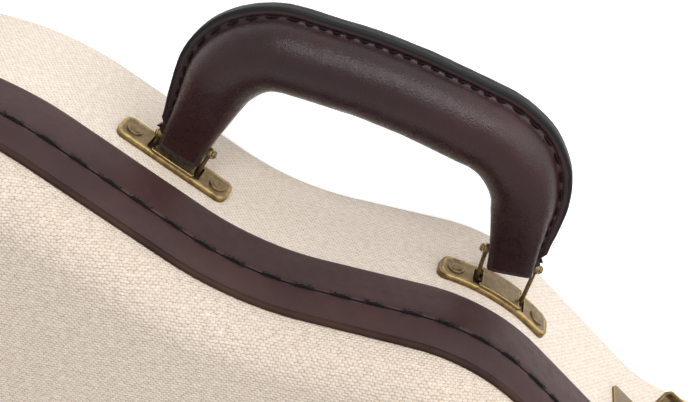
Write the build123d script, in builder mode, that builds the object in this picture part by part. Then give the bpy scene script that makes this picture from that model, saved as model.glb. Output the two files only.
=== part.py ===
"""Shaped mandolin case: a canvas-covered shell with a hinged lid, a leather handle and four draw latches.

The case lies on its back. X runs along it with the lower bout at +X, Y runs across it with the
handle at -Y and the hinges at +Y, and Z rises from the back to the lid. The origin is on the back,
on the centre line, halfway along the case. Sizes are in millimetres.
"""
import os
from math import asin, atan2, cos, radians, sin, sqrt, tan

from build123d import *

# Outline of the lid band: corners of the half outline (x, half width) and the radii that round them
TAIL_X = 372.0
HEAD_X = -372.0
LOWER_HALF_WIDTH = 194.0
LOWER_RADIUS = 134.0
WAIST_X = 121.4
WAIST_HALF_WIDTH = 124.2
WAIST_RADIUS = 117.0
UPPER_X = 31.4
UPPER_HALF_WIDTH = 140.1
UPPER_RADIUS = 75.0
NECK_X = -55.7
NECK_HALF_WIDTH = 94.5
NECK_RADIUS = 60.0
HEAD_HALF_WIDTH = 88.0
HEAD_RADIUS = 38.0

# Heights
SEAM_Z = 56.0
SEAM_GAP = 0.3
UPPER_STRIP = 20.0
LOWER_STRIP = 11.0
CROWN = 19.0
CROWN_RADIUS = 17.0

# Layers of the walls
CANVAS = 1.2
BODY_WALL = 5.0
BACK_PANEL = 5.0
BACK_EDGE_RADIUS = 5.0
BAND_STEP = 3.0
BAND = 2.0
BAND_SLOPE = 4.0
BEAD_WIDTH = 1.8
BEAD_HEIGHT = 2.2
LID_WALL = 5.0
LID_PANEL = 4.0
LINING = 2.5
FLOOR_PAD = 8.0
VALANCE = 2.0
VALANCE_RISE = 8.0
VALANCE_DROP = 14.0
PLAY = 0.3
WALL_REACH = 10.0
PLATE_REACH = 40.0

# Handle and its two brackets
HANDLE_Z = SEAM_Z - 16.0
BRACKET_LEFT_X = 164.8
BRACKET_RIGHT_X = 27.7
BRACKET_LENGTH = 50.0
BRACKET_WIDTH = 12.6
BRACKET_END_RADIUS = 3.8
BRACKET_HEIGHT = 2.6
BRACKET_SHEET = 1.0
BRIDGE_RISE = 1.3
BRIDGE_CORNER = 1.0
RIVET_SPACING = 38.6
RIVET_RADIUS = 3.0
RIVET_HEIGHT = 1.4
RIVET_SEAT = 0.06
HEAD_TAPER = 35.0
SLOT_SPACING = 20.4
SLOT_WIDTH = 3.4
SLOT_LENGTH = 9.8
BRIDGE_LENGTH = SLOT_SPACING - SLOT_WIDTH + 2 * BRACKET_SHEET
WIRE_RADIUS = 0.85
WIRE_BEND = 1.4
BAR_HEIGHT = 1.15
EYE_RADIUS = 2.2
PIN_RADIUS = 1.0
PIN_HEAD_RADIUS = 1.9
PIN_HEAD = 1.1
PIN_STAND = 0.6
PIN_LEFT = (162.7, -143.6)
PIN_RIGHT = (29.4, -149.6)
PIN_INSET = 2.6
GRIP_RADIUS = 14.0
GRIP_END_WIDTH = 8.4
GRIP_END_DEPTH = 7.4
GRIP_TOP_Y = -198.5
GRIP_CORNER_Y = -194.0
GRIP_LEAN = 10.5
GRIP_BEND = 27.0
GRIP_TOP_BEND = 220.0
LEATHER = 2.4
FLAP_REACH = 4.2
FLAP_END_REACH = 3.2
GRIP_SWELL = 0.24
GRIP_SECTIONS = 23
FLAP_SECTIONS = 13
FLAP_THICKNESS = 6.2
FLAP_SETBACK = 7.0
CORE_WIDTH = 9.0
CORE_THICKNESS = 2.0

# Latches, drawn closed and then turned to the released pose
LATCH_LOWER_X = 285.0
LATCH_UPPER_X = -48.0
LATCH_NECK_X = -250.0
LATCH_BASE_WIDTH = 26.0
LATCH_BASE_LENGTH = 28.0
LATCH_BASE_DROP = 1.2
LATCH_SHEET = 1.2
LATCH_CORNER = 3.0
LATCH_PIN_OUT = 4.6
LATCH_PIN_DROP = 7.5
LATCH_PIN_RADIUS = 1.0
LATCH_EAR_GAP = 8.2
LATCH_EAR = 1.4
LATCH_EAR_RADIUS = 2.6
LATCH_EAR_ROOT = 0.8
LEVER_WIDTH = 12.8
LEVER_LENGTH = 19.0
LEVER_BARREL = 2.1
HOOK_PIVOT_DROP = 7.5
HOOK_PIVOT_RADIUS = 0.9
HOOK_ARM = 0.9
HOOK_EYE = 1.8
HOOK_SHOULDER = 4.0
HOOK_PLATE_LOW = 1.5
HOOK_TOP = 11.1
HOOK_OUT = 7.9
HOOK_LIP_OUT = 4.7
CATCH_WIDTH = 15.0
CATCH_FOOT = 4.0
CATCH_HEIGHT = 11.0
CATCH_SHEET = 1.0
CATCH_RIDGE_OUT = 3.2
CATCH_RIDGE_TOP = 9.6
CATCH_RIDGE_RISE = 2.4
RUNNING_FIT = 0.05
LATCH_OPEN = 70.0
HOOK_RATIO = -1.357

# Lid hinges
HINGE_OUT = 4.3
HINGE_LENGTH = 36.0
HINGE_BARREL = 2.6
HINGE_PIN = 1.2
HINGE_LEAF = 1.2
HINGE_BODY_LEAF = 22.0
HINGE_LID_LEAF = 16.0
HINGE_KNUCKLE = 12.0

# Neck cradle and the accessory box under the neck
CRADLE_X = -150.0
CRADLE_LENGTH = 34.0
CRADLE_TOP = 50.0
CRADLE_NOTCH_RADIUS = 27.0
CRADLE_NOTCH_DEPTH = 24.0
CRADLE_EDGE = 3.0
BOX_X = -94.0
BOX_LENGTH = 62.0
BOX_TOP = 33.0
BOX_WALL = 4.0
BOX_LID = 3.0
BOX_HINGE_RADIUS = 1.5
BOX_PIN_RADIUS = 0.8
TAB_LENGTH = 18.0

# Corners of the half outline, from the tail to the head
CORNERS = [
    Vector(TAIL_X, 0),
    Vector(TAIL_X, LOWER_HALF_WIDTH),
    Vector(WAIST_X, WAIST_HALF_WIDTH),
    Vector(UPPER_X, UPPER_HALF_WIDTH),
    Vector(NECK_X, NECK_HALF_WIDTH),
    Vector(HEAD_X, HEAD_HALF_WIDTH),
    Vector(HEAD_X, 0),
]
RADII = [LOWER_RADIUS, WAIST_RADIUS, UPPER_RADIUS, NECK_RADIUS, HEAD_RADIUS]

LID_Z = SEAM_Z + SEAM_GAP
STRIP_Z = SEAM_Z + UPPER_STRIP
RIM_Z = STRIP_Z + LOWER_STRIP
CROWN_Z = RIM_Z + CROWN
PANEL_TOP = CANVAS + BACK_PANEL
WOOD_INSET = BAND_STEP + CANVAS
CAVITY_INSET = WOOD_INSET + BODY_WALL
LID_CAVITY_INSET = BAND + LID_WALL
CROWN_INSET = BAND_SLOPE + BEAD_WIDTH

os.makedirs("parts", exist_ok=True)


def keep(piece, name):
    """Label a finished sub-part and write its file."""
    piece.label = name
    export_step(piece, "parts/" + name + ".step")


# Outline helpers

def outline(z, inset=0.0):
    """The case outline as a sketch at a height, moved inwards by inset."""
    with BuildSketch(Plane.XY.offset(z)) as sketch:
        with BuildLine():
            FilletPolyline(*CORNERS, radius=RADII)
            mirror(about=Plane.XZ)
        make_face()
        if inset:
            offset(amount=-inset, mode=Mode.REPLACE)
    return sketch.sketch


def band(z, outer, inner):
    """A closed strip between two insets of the outline."""
    with BuildSketch(Plane.XY.offset(z)) as sketch:
        add(outline(0, outer))
        add(outline(0, inner), mode=Mode.SUBTRACT)
    return sketch.sketch


def corner_arc(index):
    """Centre of the arc at a corner, and the points where it meets the straight runs."""
    before, corner, after = CORNERS[index - 1], CORNERS[index], CORNERS[index + 1]
    run_in = (corner - before).normalized()
    run_out = (after - corner).normalized()
    half_turn = radians(run_in.get_angle(run_out)) / 2
    radius = RADII[index - 1]
    reach = radius * tan(half_turn)
    centre = corner + (run_out - run_in).normalized() * (radius / cos(half_turn))
    return centre, corner - run_in * reach, corner + run_out * reach


def wall_frame(x, z, inset=BAND_STEP):
    """Plane on the handle-side wall: its x along the wall, its y up and its z straight out."""
    for index in range(2, 5):
        centre, start, end = corner_arc(index)
        if end.X <= x <= start.X:
            side = 1 if centre.Y < start.Y else -1
            rise = sqrt(RADII[index - 1] ** 2 - (x - centre.X) ** 2)
            normal = Vector(side * (x - centre.X), rise).normalized()
            point = Vector(x, centre.Y + side * rise)
            break
    else:
        index = next(i for i in range(1, 5) if CORNERS[i + 1].X <= x <= CORNERS[i].X)
        centre, start, end = corner_arc(1)
        if x > end.X:
            rise = sqrt(LOWER_RADIUS ** 2 - (x - centre.X) ** 2)
            normal = Vector(x - centre.X, rise).normalized()
            point = Vector(x, centre.Y + rise)
        else:
            run = CORNERS[index] - CORNERS[index + 1]
            slope = run.Y / run.X
            point = Vector(x, CORNERS[index + 1].Y + slope * (x - CORNERS[index + 1].X))
            normal = Vector(-slope, 1).normalized()
    place = point - normal * inset
    out = Vector(normal.X, -normal.Y, 0)
    return Plane(origin=(place.X, -place.Y, z), x_dir=Vector(0, 0, 1).cross(out), z_dir=out)


def tail_frame(z):
    """The same plane on the flat of the tail."""
    return Plane(origin=(TAIL_X - BAND_STEP, 0, z), x_dir=(0, 1, 0), z_dir=(1, 0, 0))


def side_plane(frame):
    """Plane square to the wall: its x straight out and its y up."""
    return Plane(origin=frame.origin, x_dir=frame.z_dir, z_dir=-frame.x_dir)


# Body of the case

def make_body():
    """Wooden back and wall, their canvas, the fibre lip and the linings."""
    with BuildPart() as body_back:
        add(outline(CANVAS, WOOD_INSET))
        extrude(amount=BACK_PANEL)
        fillet(body_back.faces().sort_by(Axis.Z)[0].edges(), BACK_EDGE_RADIUS - CANVAS)
    keep(body_back.part, "body_back")

    with BuildPart() as body_back_canvas:
        add(outline(0, BAND_STEP))
        extrude(amount=PANEL_TOP)
        fillet(body_back_canvas.faces().sort_by(Axis.Z)[0].edges(), BACK_EDGE_RADIUS)
        add(body_back.part, mode=Mode.SUBTRACT)
    keep(body_back_canvas.part, "body_back_canvas")

    with BuildPart() as body_side:
        add(band(PANEL_TOP, WOOD_INSET, CAVITY_INSET))
        extrude(amount=SEAM_Z - PANEL_TOP)
    keep(body_side.part, "body_side")

    with BuildPart() as body_side_canvas:
        add(band(PANEL_TOP, BAND_STEP, WOOD_INSET))
        extrude(amount=SEAM_Z - PANEL_TOP)
    keep(body_side_canvas.part, "body_side_canvas")

    with BuildPart() as body_valance:
        add(band(SEAM_Z - VALANCE_DROP, CAVITY_INSET, CAVITY_INSET + VALANCE))
        extrude(amount=VALANCE_DROP + VALANCE_RISE)
        fillet(body_valance.faces().sort_by(Axis.Z)[-1].edges(), VALANCE * 0.3)
    keep(body_valance.part, "body_valance")

    with BuildPart() as body_floor_pad:
        add(outline(PANEL_TOP, CAVITY_INSET))
        extrude(amount=FLOOR_PAD)
        fillet(body_floor_pad.faces().sort_by(Axis.Z)[-1].edges(), FLOOR_PAD * 0.3)
    keep(body_floor_pad.part, "body_floor_pad")

    with BuildPart() as body_wall_lining:
        add(band(PANEL_TOP + FLOOR_PAD, CAVITY_INSET, CAVITY_INSET + LINING))
        extrude(amount=SEAM_Z - VALANCE_DROP - PANEL_TOP - FLOOR_PAD)
    keep(body_wall_lining.part, "body_wall_lining")


def crown(inset, sink):
    """The raised middle of the lid as a solid dome with a rolled edge."""
    with BuildPart() as dome:
        add(outline(RIM_Z, CROWN_INSET + inset))
        extrude(amount=CROWN - sink)
        fillet(dome.faces().sort_by(Axis.Z)[-1].edges(), CROWN_RADIUS - sink)
    return dome.part


def make_lid():
    """Wooden rim and crowned panel, the canvas, the leather band in two strips and the lining."""
    with BuildPart() as lid_side:
        add(band(LID_Z, BAND, LID_CAVITY_INSET))
        extrude(amount=STRIP_Z - LID_Z)
        add(outline(STRIP_Z, BAND))
        add(outline(RIM_Z, BAND + BAND_SLOPE))
        loft(ruled=True)
        add(outline(STRIP_Z, LID_CAVITY_INSET))
        add(outline(RIM_Z, LID_CAVITY_INSET + BAND_SLOPE))
        loft(ruled=True, mode=Mode.SUBTRACT)
    keep(lid_side.part, "lid_side")

    with BuildPart() as lid_band_upper:
        add(band(LID_Z, 0, BAND))
        extrude(amount=STRIP_Z - LID_Z)
    keep(lid_band_upper.part, "lid_band_upper")

    with BuildPart() as lid_band_lower:
        add(outline(STRIP_Z, 0))
        add(outline(RIM_Z, BAND_SLOPE))
        loft(ruled=True)
        add(outline(STRIP_Z, BAND))
        add(outline(RIM_Z, BAND_SLOPE + BAND))
        loft(ruled=True, mode=Mode.SUBTRACT)
    keep(lid_band_lower.part, "lid_band_lower")

    with BuildPart() as lid_bead:
        add(band(RIM_Z, BAND_SLOPE, CROWN_INSET))
        extrude(amount=BEAD_HEIGHT)
        fillet(lid_bead.faces().sort_by(Axis.Z)[-1].edges(), BEAD_WIDTH * 0.4)
    keep(lid_bead.part, "lid_bead")

    with BuildPart() as lid_top_canvas:
        add(crown(0, 0))
        add(crown(CANVAS, CANVAS), mode=Mode.SUBTRACT)
    keep(lid_top_canvas.part, "lid_top_canvas")

    shell = CANVAS + LID_PANEL
    with BuildPart() as lid_top:
        add(crown(CANVAS, CANVAS))
        add(crown(shell, shell), mode=Mode.SUBTRACT)
    keep(lid_top.part, "lid_top")

    with BuildPart() as lid_lining:
        add(crown(shell, shell))
        add(crown(shell + LINING, shell + LINING), mode=Mode.SUBTRACT)
    keep(lid_lining.part, "lid_lining")



# Handle, its wire links and its brackets

def wall_plate(frame, length, width, corner, inset, height, low=0.0):
    """A rounded plate that follows the wall: its plan stands on the frame, its faces on the outline."""
    with BuildPart() as plate:
        with BuildSketch(frame.offset(-WALL_REACH)):
            with Locations((0, low)):
                RectangleRounded(length, width, corner)
        extrude(amount=2 * WALL_REACH)
        add(band(frame.origin.Z - PLATE_REACH, inset - height, inset))
        extrude(amount=2 * PLATE_REACH, mode=Mode.INTERSECT)
    return plate.part


def bracket(frame, name):
    """Pressed plate with rounded ends, a raised bridge and a slot at each end of the bridge."""
    inner = 2 * BRACKET_SHEET
    with BuildPart() as plate:
        add(wall_plate(frame, BRACKET_LENGTH, BRACKET_WIDTH, BRACKET_END_RADIUS, BAND_STEP, BRACKET_HEIGHT))
        add(wall_plate(frame, BRIDGE_LENGTH, BRACKET_WIDTH, BRIDGE_CORNER, BAND_STEP, BRACKET_HEIGHT + BRIDGE_RISE))
        add(
            wall_plate(
                frame, BRACKET_LENGTH - inner, BRACKET_WIDTH - inner, BRACKET_END_RADIUS - BRACKET_SHEET,
                BAND_STEP, BRACKET_HEIGHT - BRACKET_SHEET,
            ),
            mode=Mode.SUBTRACT,
        )
        add(
            wall_plate(
                frame, BRIDGE_LENGTH - inner, BRACKET_WIDTH - inner, BRIDGE_CORNER / 2,
                BAND_STEP, BRACKET_HEIGHT + BRIDGE_RISE - BRACKET_SHEET,
            ),
            mode=Mode.SUBTRACT,
        )
        with BuildSketch(frame.offset(-WALL_REACH)):
            with GridLocations(SLOT_SPACING, 0, 2, 1):
                RectangleRounded(SLOT_WIDTH, SLOT_LENGTH, SLOT_WIDTH * 0.3)
        extrude(amount=2 * WALL_REACH, mode=Mode.SUBTRACT)
    keep(plate.part, name)


def make_brackets():
    """Both brackets and their domed rivets, which stand on the wall and close through the plate."""
    frames = [wall_frame(BRACKET_LEFT_X, HANDLE_Z), wall_frame(BRACKET_RIGHT_X, HANDLE_Z)]
    bracket(frames[0], "bracket_left")
    bracket(frames[1], "bracket_right")
    with BuildPart() as bracket_rivets:
        for frame in frames:
            for side in (-1, 1):
                foot = frame.origin + frame.x_dir * side * RIVET_SPACING / 2
                with BuildSketch(wall_frame(foot.X, HANDLE_Z, BAND_STEP - BRACKET_HEIGHT - RIVET_SEAT)) as head:
                    Circle(RIVET_RADIUS)
                extrude(head.sketch, amount=RIVET_HEIGHT, taper=HEAD_TAPER)
    keep(bracket_rivets.part, "bracket_rivets")


def link(frame, pin, name):
    """Wire link: a bar under the bridge, a leg through each slot and an eye round each end of the pin."""
    half = SLOT_SPACING / 2
    bar = frame.offset(BAR_HEIGHT)
    foot_a = bar.from_local_coords((half, 0, 0))
    foot_b = bar.from_local_coords((-half, 0, 0))
    eye_a = Vector(pin[0] + half, pin[1], HANDLE_Z)
    eye_b = Vector(pin[0] - half, pin[1], HANDLE_Z)
    with BuildPart() as wire:
        with BuildLine() as path:
            FilletPolyline(eye_a, foot_a, foot_b, eye_b, radius=WIRE_BEND)
        with BuildSketch(Plane(origin=eye_a, z_dir=path.line % 0)):
            Circle(WIRE_RADIUS)
        sweep()
        for eye in (eye_a, eye_b):
            with BuildSketch(Plane(origin=eye - Vector(WIRE_RADIUS, 0, 0), z_dir=(1, 0, 0))):
                Circle(EYE_RADIUS)
            extrude(amount=2 * WIRE_RADIUS)
        with BuildSketch(Plane(origin=eye_b - Vector(EYE_RADIUS, 0, 0), z_dir=(1, 0, 0))):
            Circle(PIN_RADIUS)
        extrude(amount=SLOT_SPACING + 2 * EYE_RADIUS, mode=Mode.SUBTRACT)
    keep(wire.part, name)


def pin_rod(pin, name):
    """Cross pin through the leather end, with a peened head outside each eye."""
    half = SLOT_SPACING / 2 + WIRE_RADIUS + PIN_STAND
    with BuildPart() as rod:
        with BuildSketch(Plane(origin=(pin[0], pin[1], HANDLE_Z), z_dir=(1, 0, 0))):
            Circle(PIN_RADIUS)
        extrude(amount=half, both=True)
        for side in (-1, 1):
            face = Plane(origin=(pin[0] + side * half, pin[1], HANDLE_Z), z_dir=(side, 0, 0))
            with BuildSketch(face):
                Circle(PIN_HEAD_RADIUS)
            extrude(amount=PIN_HEAD, taper=HEAD_TAPER)
    keep(rod.part, name)


def handle_corners():
    """The two shoulders of the handle and its top between them."""
    return [
        Vector(PIN_LEFT[0] - GRIP_LEAN, GRIP_CORNER_Y, HANDLE_Z),
        Vector((PIN_LEFT[0] + PIN_RIGHT[0]) / 2, GRIP_TOP_Y, HANDLE_Z),
        Vector(PIN_RIGHT[0] + GRIP_LEAN, GRIP_CORNER_Y, HANDLE_Z),
    ]


def handle_path():
    """Centre line of the handle, from the end at the lower bout to the end at the neck."""
    left, right = Vector(*PIN_LEFT, HANDLE_Z), Vector(*PIN_RIGHT, HANDLE_Z)
    corners = handle_corners()
    with BuildLine() as path:
        FilletPolyline(
            left + (left - corners[0]).normalized() * PIN_INSET,
            *corners,
            right + (right - corners[-1]).normalized() * PIN_INSET,
            radius=[GRIP_BEND, GRIP_TOP_BEND, GRIP_BEND],
        )
    return Wire(path.edges())


def grip_section(path, share):
    """Section plane at a share of the length, x pointing away from the case, and how full it is there."""
    reach = share * path.length
    along = path.tangent_at(reach, PositionMode.LENGTH)
    origin = path.position_at(reach, PositionMode.LENGTH)
    plane = Plane(origin=origin, x_dir=Vector(0, 0, 1).cross(along), z_dir=along)
    fullness = min(1.0, share / GRIP_SWELL, (1 - share) / GRIP_SWELL)
    return plane, fullness * fullness * (3 - 2 * fullness)


def grip(path, inset, ruled=False):
    """The round of the handle, slim at its ends and full in the middle."""
    with BuildPart() as tube:
        for step in range(GRIP_SECTIONS):
            plane, fullness = grip_section(path, step / (GRIP_SECTIONS - 1))
            width = GRIP_END_WIDTH + (GRIP_RADIUS - GRIP_END_WIDTH) * fullness
            depth = GRIP_END_DEPTH + (GRIP_RADIUS - GRIP_END_DEPTH) * fullness
            with BuildSketch(plane):
                Ellipse(width - inset, depth - inset)
        loft(ruled=ruled)
    return tube.part


def make_handle():
    """Steel core, felt padding, sewn leather with its flap, pins and wire links."""
    path = handle_path()
    corners = handle_corners()
    with BuildPart() as pin_holes:
        for pin in (PIN_LEFT, PIN_RIGHT):
            with BuildSketch(Plane(origin=(pin[0], pin[1], HANDLE_Z), z_dir=(1, 0, 0))):
                Circle(PIN_RADIUS)
            extrude(amount=SLOT_SPACING / 2, both=True)

    with BuildPart() as handle_core:
        with BuildSketch(grip_section(path, 0)[0]):
            Rectangle(CORE_WIDTH, CORE_THICKNESS + 2 * PIN_RADIUS)
        sweep(path=path)
        add(pin_holes.part, mode=Mode.SUBTRACT)
    keep(handle_core.part, "handle_core")

    with BuildPart() as handle_padding:
        add(grip(path, LEATHER, ruled=True))
        add(handle_core.part, mode=Mode.SUBTRACT)
        add(pin_holes.part, mode=Mode.SUBTRACT)
    keep(handle_padding.part, "handle_padding")

    setback = FLAP_SETBACK / path.length
    edge = []
    for step in range(FLAP_SECTIONS):
        plane, fullness = grip_section(path, setback + (1 - 2 * setback) * step / (FLAP_SECTIONS - 1))
        width = GRIP_END_WIDTH + (GRIP_RADIUS - GRIP_END_WIDTH) * fullness
        reach = FLAP_END_REACH + (FLAP_REACH - FLAP_END_REACH) * min(1.0, 3 * fullness)
        point = plane.from_local_coords((width + reach, 0, 0))
        edge.append((point.X, point.Y))
    foot = [path.position_at(length, PositionMode.LENGTH) for length in (FLAP_SETBACK, path.length - FLAP_SETBACK)]
    foot = [(point.X, point.Y) for point in foot]
    with BuildPart() as handle_cover:
        with BuildSketch(Plane.XY.offset(HANDLE_Z - FLAP_THICKNESS / 2)):
            with BuildLine():
                Spline(*edge)
                Polyline(edge[-1], foot[1], *[(p.X, p.Y) for p in reversed(corners)], foot[0], edge[0])
            make_face()
        extrude(amount=FLAP_THICKNESS)
        add(grip(path, 0))
        add(grip(path, LEATHER, ruled=True), mode=Mode.SUBTRACT)
        add(pin_holes.part, mode=Mode.SUBTRACT)
    keep(handle_cover.part, "handle_cover")

    for side, x, pin in (("left", BRACKET_LEFT_X, PIN_LEFT), ("right", BRACKET_RIGHT_X, PIN_RIGHT)):
        link(wall_frame(x, HANDLE_Z), pin, "link_" + side)
        pin_rod(pin, "handle_pin_" + side)
        print("bar_" + side, wall_frame(x, HANDLE_Z).offset(BAR_HEIGHT).origin)


# Lid hinges

def hinge_line():
    """Plane on the line that touches both bouts at the hinge side: x along the line, y straight out."""
    lower, upper = corner_arc(1)[0], corner_arc(3)[0]
    between = lower - upper
    slope = atan2(between.Y, between.X) + asin((LOWER_RADIUS - UPPER_RADIUS) / between.length)
    along = Vector(cos(slope), sin(slope), 0)
    out = Vector(0, 0, 1).cross(along)
    frames = []
    for centre, radius in ((lower, LOWER_RADIUS), (upper, UPPER_RADIUS)):
        origin = centre + out * (radius + HINGE_OUT) + Vector(0, 0, SEAM_Z)
        frames.append(Plane(origin=origin, x_dir=along, z_dir=(0, 0, 1)))
    return frames


def hinge_leaf(frame, radius, inset, low, high, knuckles, name):
    """A leaf bent to the wall with its knuckles; the pin hole runs through them."""
    axis = Plane(origin=frame.origin, x_dir=frame.y_dir, z_dir=frame.x_dir)
    web_low = min(low, high) if low > 0 else -HINGE_BARREL
    with BuildPart() as leaf:
        with BuildSketch(frame.offset(low)):
            with Locations((0, -HINGE_OUT - radius)):
                Circle(radius - inset + HINGE_LEAF)
                Circle(radius - inset, mode=Mode.SUBTRACT)
            with Locations((0, -HINGE_OUT)):
                Rectangle(HINGE_LENGTH, 4 * HINGE_OUT, mode=Mode.INTERSECT)
        extrude(amount=high - low)
        for start, end in knuckles:
            with BuildSketch(frame.offset(web_low)):
                with Locations(((start + end) / 2, -WALL_REACH / 2)):
                    Rectangle(end - start, WALL_REACH)
                with Locations((0, -HINGE_OUT - radius)):
                    Circle(radius - inset, mode=Mode.SUBTRACT)
            extrude(amount=HINGE_BARREL - (SEAM_GAP if low > 0 else 0))
            with BuildSketch(axis.offset(start)):
                Circle(HINGE_BARREL)
            extrude(amount=end - start)
        with BuildSketch(axis.offset(-HINGE_LENGTH)):
            Circle(HINGE_PIN if low < 0 else HINGE_PIN + RUNNING_FIT)
        extrude(amount=2 * HINGE_LENGTH, mode=Mode.SUBTRACT)
    keep(leaf.part, name)


def make_hinges():
    """Two butt hinges on the far side, one at each bout, on one line."""
    half = HINGE_LENGTH / 2
    inner = HINGE_KNUCKLE / 2
    for name, frame, radius in zip(("lower", "upper"), hinge_line(), (LOWER_RADIUS, UPPER_RADIUS)):
        outer_knuckles = [(-half, -inner - PLAY), (inner + PLAY, half)]
        hinge_leaf(frame, radius, BAND_STEP, -HINGE_BODY_LEAF, 0, outer_knuckles, "hinge_body_leaf_" + name)
        hinge_leaf(frame, radius, 0, 2 * SEAM_GAP, HINGE_LID_LEAF, [(-inner, inner)], "hinge_lid_leaf_" + name)
        print("hinge_" + name, frame.origin, frame.x_dir)
    with BuildPart() as hinge_pins:
        for frame in hinge_line():
            with BuildSketch(Plane(origin=frame.origin, x_dir=frame.y_dir, z_dir=frame.x_dir)):
                Circle(HINGE_PIN)
            extrude(amount=half + PLAY, both=True)
    keep(hinge_pins.part, "hinge_pins")


# Draw latches

def latch(frame, name):
    """Base with two ears and a pin, a lever on the pin, a hook on the lever and a catch on the lid."""
    side = side_plane(frame)
    pin_at = (LATCH_PIN_OUT, -LATCH_PIN_DROP)
    pivot_at = (LATCH_PIN_OUT, -LATCH_PIN_DROP - HOOK_PIVOT_DROP)
    ear_middle = LATCH_EAR_GAP + LATCH_EAR / 2

    with BuildPart() as base:
        middle = -LATCH_BASE_DROP - LATCH_BASE_LENGTH / 2
        add(wall_plate(frame, LATCH_BASE_WIDTH, LATCH_BASE_LENGTH, LATCH_CORNER, BAND_STEP, LATCH_SHEET, middle))
        for place in (-ear_middle, ear_middle):
            with BuildSketch(side.offset(-place - LATCH_EAR / 2)):
                with Locations(pin_at):
                    Circle(LATCH_EAR_RADIUS)
                with Locations(((LATCH_PIN_OUT + LATCH_EAR_ROOT) / 2, -LATCH_PIN_DROP)):
                    Rectangle(LATCH_PIN_OUT - LATCH_EAR_ROOT, 2 * LATCH_EAR_RADIUS)
                with Locations(pin_at):
                    Circle(LATCH_PIN_RADIUS, mode=Mode.SUBTRACT)
            extrude(amount=LATCH_EAR)
    keep(base.part, "latch_base_" + name)

    with BuildPart() as lever:
        with BuildSketch(side):
            with Locations(pin_at):
                Circle(LEVER_BARREL)
            with BuildLine():
                Polyline(
                    (LATCH_PIN_OUT - LATCH_SHEET / 2, -LATCH_PIN_DROP),
                    (LATCH_PIN_OUT - LATCH_SHEET / 2, -LATCH_PIN_DROP - LEVER_LENGTH),
                    (LATCH_PIN_OUT + 2 * LATCH_SHEET, -LATCH_PIN_DROP - LEVER_LENGTH - 2 * LATCH_SHEET),
                    (LATCH_PIN_OUT + 2 * LATCH_SHEET, -LATCH_PIN_DROP - LEVER_LENGTH - LATCH_SHEET),
                    (LATCH_PIN_OUT + LATCH_SHEET, -LATCH_PIN_DROP - LEVER_LENGTH + LATCH_SHEET),
                    (LATCH_PIN_OUT + LATCH_SHEET, -LATCH_PIN_DROP),
                    close=True,
                )
            make_face()
            with Locations(pin_at):
                Circle(LATCH_PIN_RADIUS + RUNNING_FIT, mode=Mode.SUBTRACT)
        extrude(amount=LEVER_WIDTH / 2, both=True)
        with BuildSketch(side):
            with Locations(pivot_at):
                Circle(HOOK_PIVOT_RADIUS)
        extrude(amount=LEVER_WIDTH / 2 + PLAY + HOOK_ARM, both=True)

    with BuildPart() as hook:
        arm_out = HOOK_OUT - LATCH_SHEET
        shoulder = pivot_at[1] + HOOK_SHOULDER
        for place in (-1, 1):
            start = LEVER_WIDTH / 2 + PLAY if place > 0 else -LEVER_WIDTH / 2 - PLAY - HOOK_ARM
            with BuildSketch(side.offset(start)):
                with BuildLine():
                    Polyline(
                        (pivot_at[0], pivot_at[1] - HOOK_EYE),
                        (HOOK_OUT, shoulder),
                        (HOOK_OUT, HOOK_TOP),
                        (arm_out, HOOK_TOP),
                        (arm_out, shoulder + LATCH_SHEET / 2),
                        (pivot_at[0] - HOOK_EYE, pivot_at[1]),
                        close=True,
                    )
                make_face()
                with Locations(pivot_at):
                    Circle(HOOK_EYE)
                with Locations(pivot_at):
                    Circle(HOOK_PIVOT_RADIUS + RUNNING_FIT, mode=Mode.SUBTRACT)
            extrude(amount=HOOK_ARM)
        with BuildSketch(side):
            with BuildLine():
                Polyline(
                    (HOOK_OUT, HOOK_PLATE_LOW),
                    (HOOK_OUT, HOOK_TOP),
                    (HOOK_LIP_OUT, HOOK_TOP),
                    (HOOK_LIP_OUT, CATCH_RIDGE_TOP + PLAY),
                    (arm_out, CATCH_RIDGE_TOP + PLAY),
                    (arm_out, HOOK_PLATE_LOW),
                    close=True,
                )
            make_face()
        extrude(amount=LEVER_WIDTH / 2 + PLAY + HOOK_ARM, both=True)

    with BuildPart() as catch:
        catch_middle = CATCH_FOOT + CATCH_HEIGHT / 2
        ridge_foot = BAND_STEP + CATCH_SHEET / 2
        ridge_out = BAND_STEP + CATCH_RIDGE_OUT
        add(wall_plate(frame, CATCH_WIDTH, CATCH_HEIGHT, 2 * CATCH_SHEET, 0, CATCH_SHEET, catch_middle))
        with BuildSketch(side):
            with BuildLine():
                Polyline(
                    (ridge_foot, CATCH_RIDGE_TOP - CATCH_RIDGE_RISE),
                    (ridge_out, CATCH_RIDGE_TOP - CATCH_RIDGE_RISE / 2),
                    (ridge_out, CATCH_RIDGE_TOP),
                    (ridge_foot, CATCH_RIDGE_TOP),
                    close=True,
                )
            make_face()
        extrude(amount=CATCH_WIDTH / 2 - CATCH_SHEET, both=True)
    keep(catch.part, "latch_catch_" + name)

    pin_line = Axis(side.from_local_coords((*pin_at, 0)), side.z_dir)
    pivot_line = Axis(side.from_local_coords((*pivot_at, 0)), side.z_dir)
    swung_hook = hook.part.rotate(pivot_line, LATCH_OPEN * HOOK_RATIO).rotate(pin_line, LATCH_OPEN)
    keep(lever.part.rotate(pin_line, LATCH_OPEN), "latch_lever_" + name)
    keep(swung_hook, "latch_hook_" + name)
    open_pivot = Vertex(*pivot_line.position).rotate(pin_line, LATCH_OPEN).center()
    print("latch_" + name, pin_line.position, side.z_dir, open_pivot)


def latch_frames():
    """The four latches: three on the handle side and one on the tail."""
    return {
        "lower": wall_frame(LATCH_LOWER_X, SEAM_Z),
        "upper": wall_frame(LATCH_UPPER_X, SEAM_Z),
        "neck": wall_frame(LATCH_NECK_X, SEAM_Z),
        "tail": tail_frame(SEAM_Z),
    }


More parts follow.
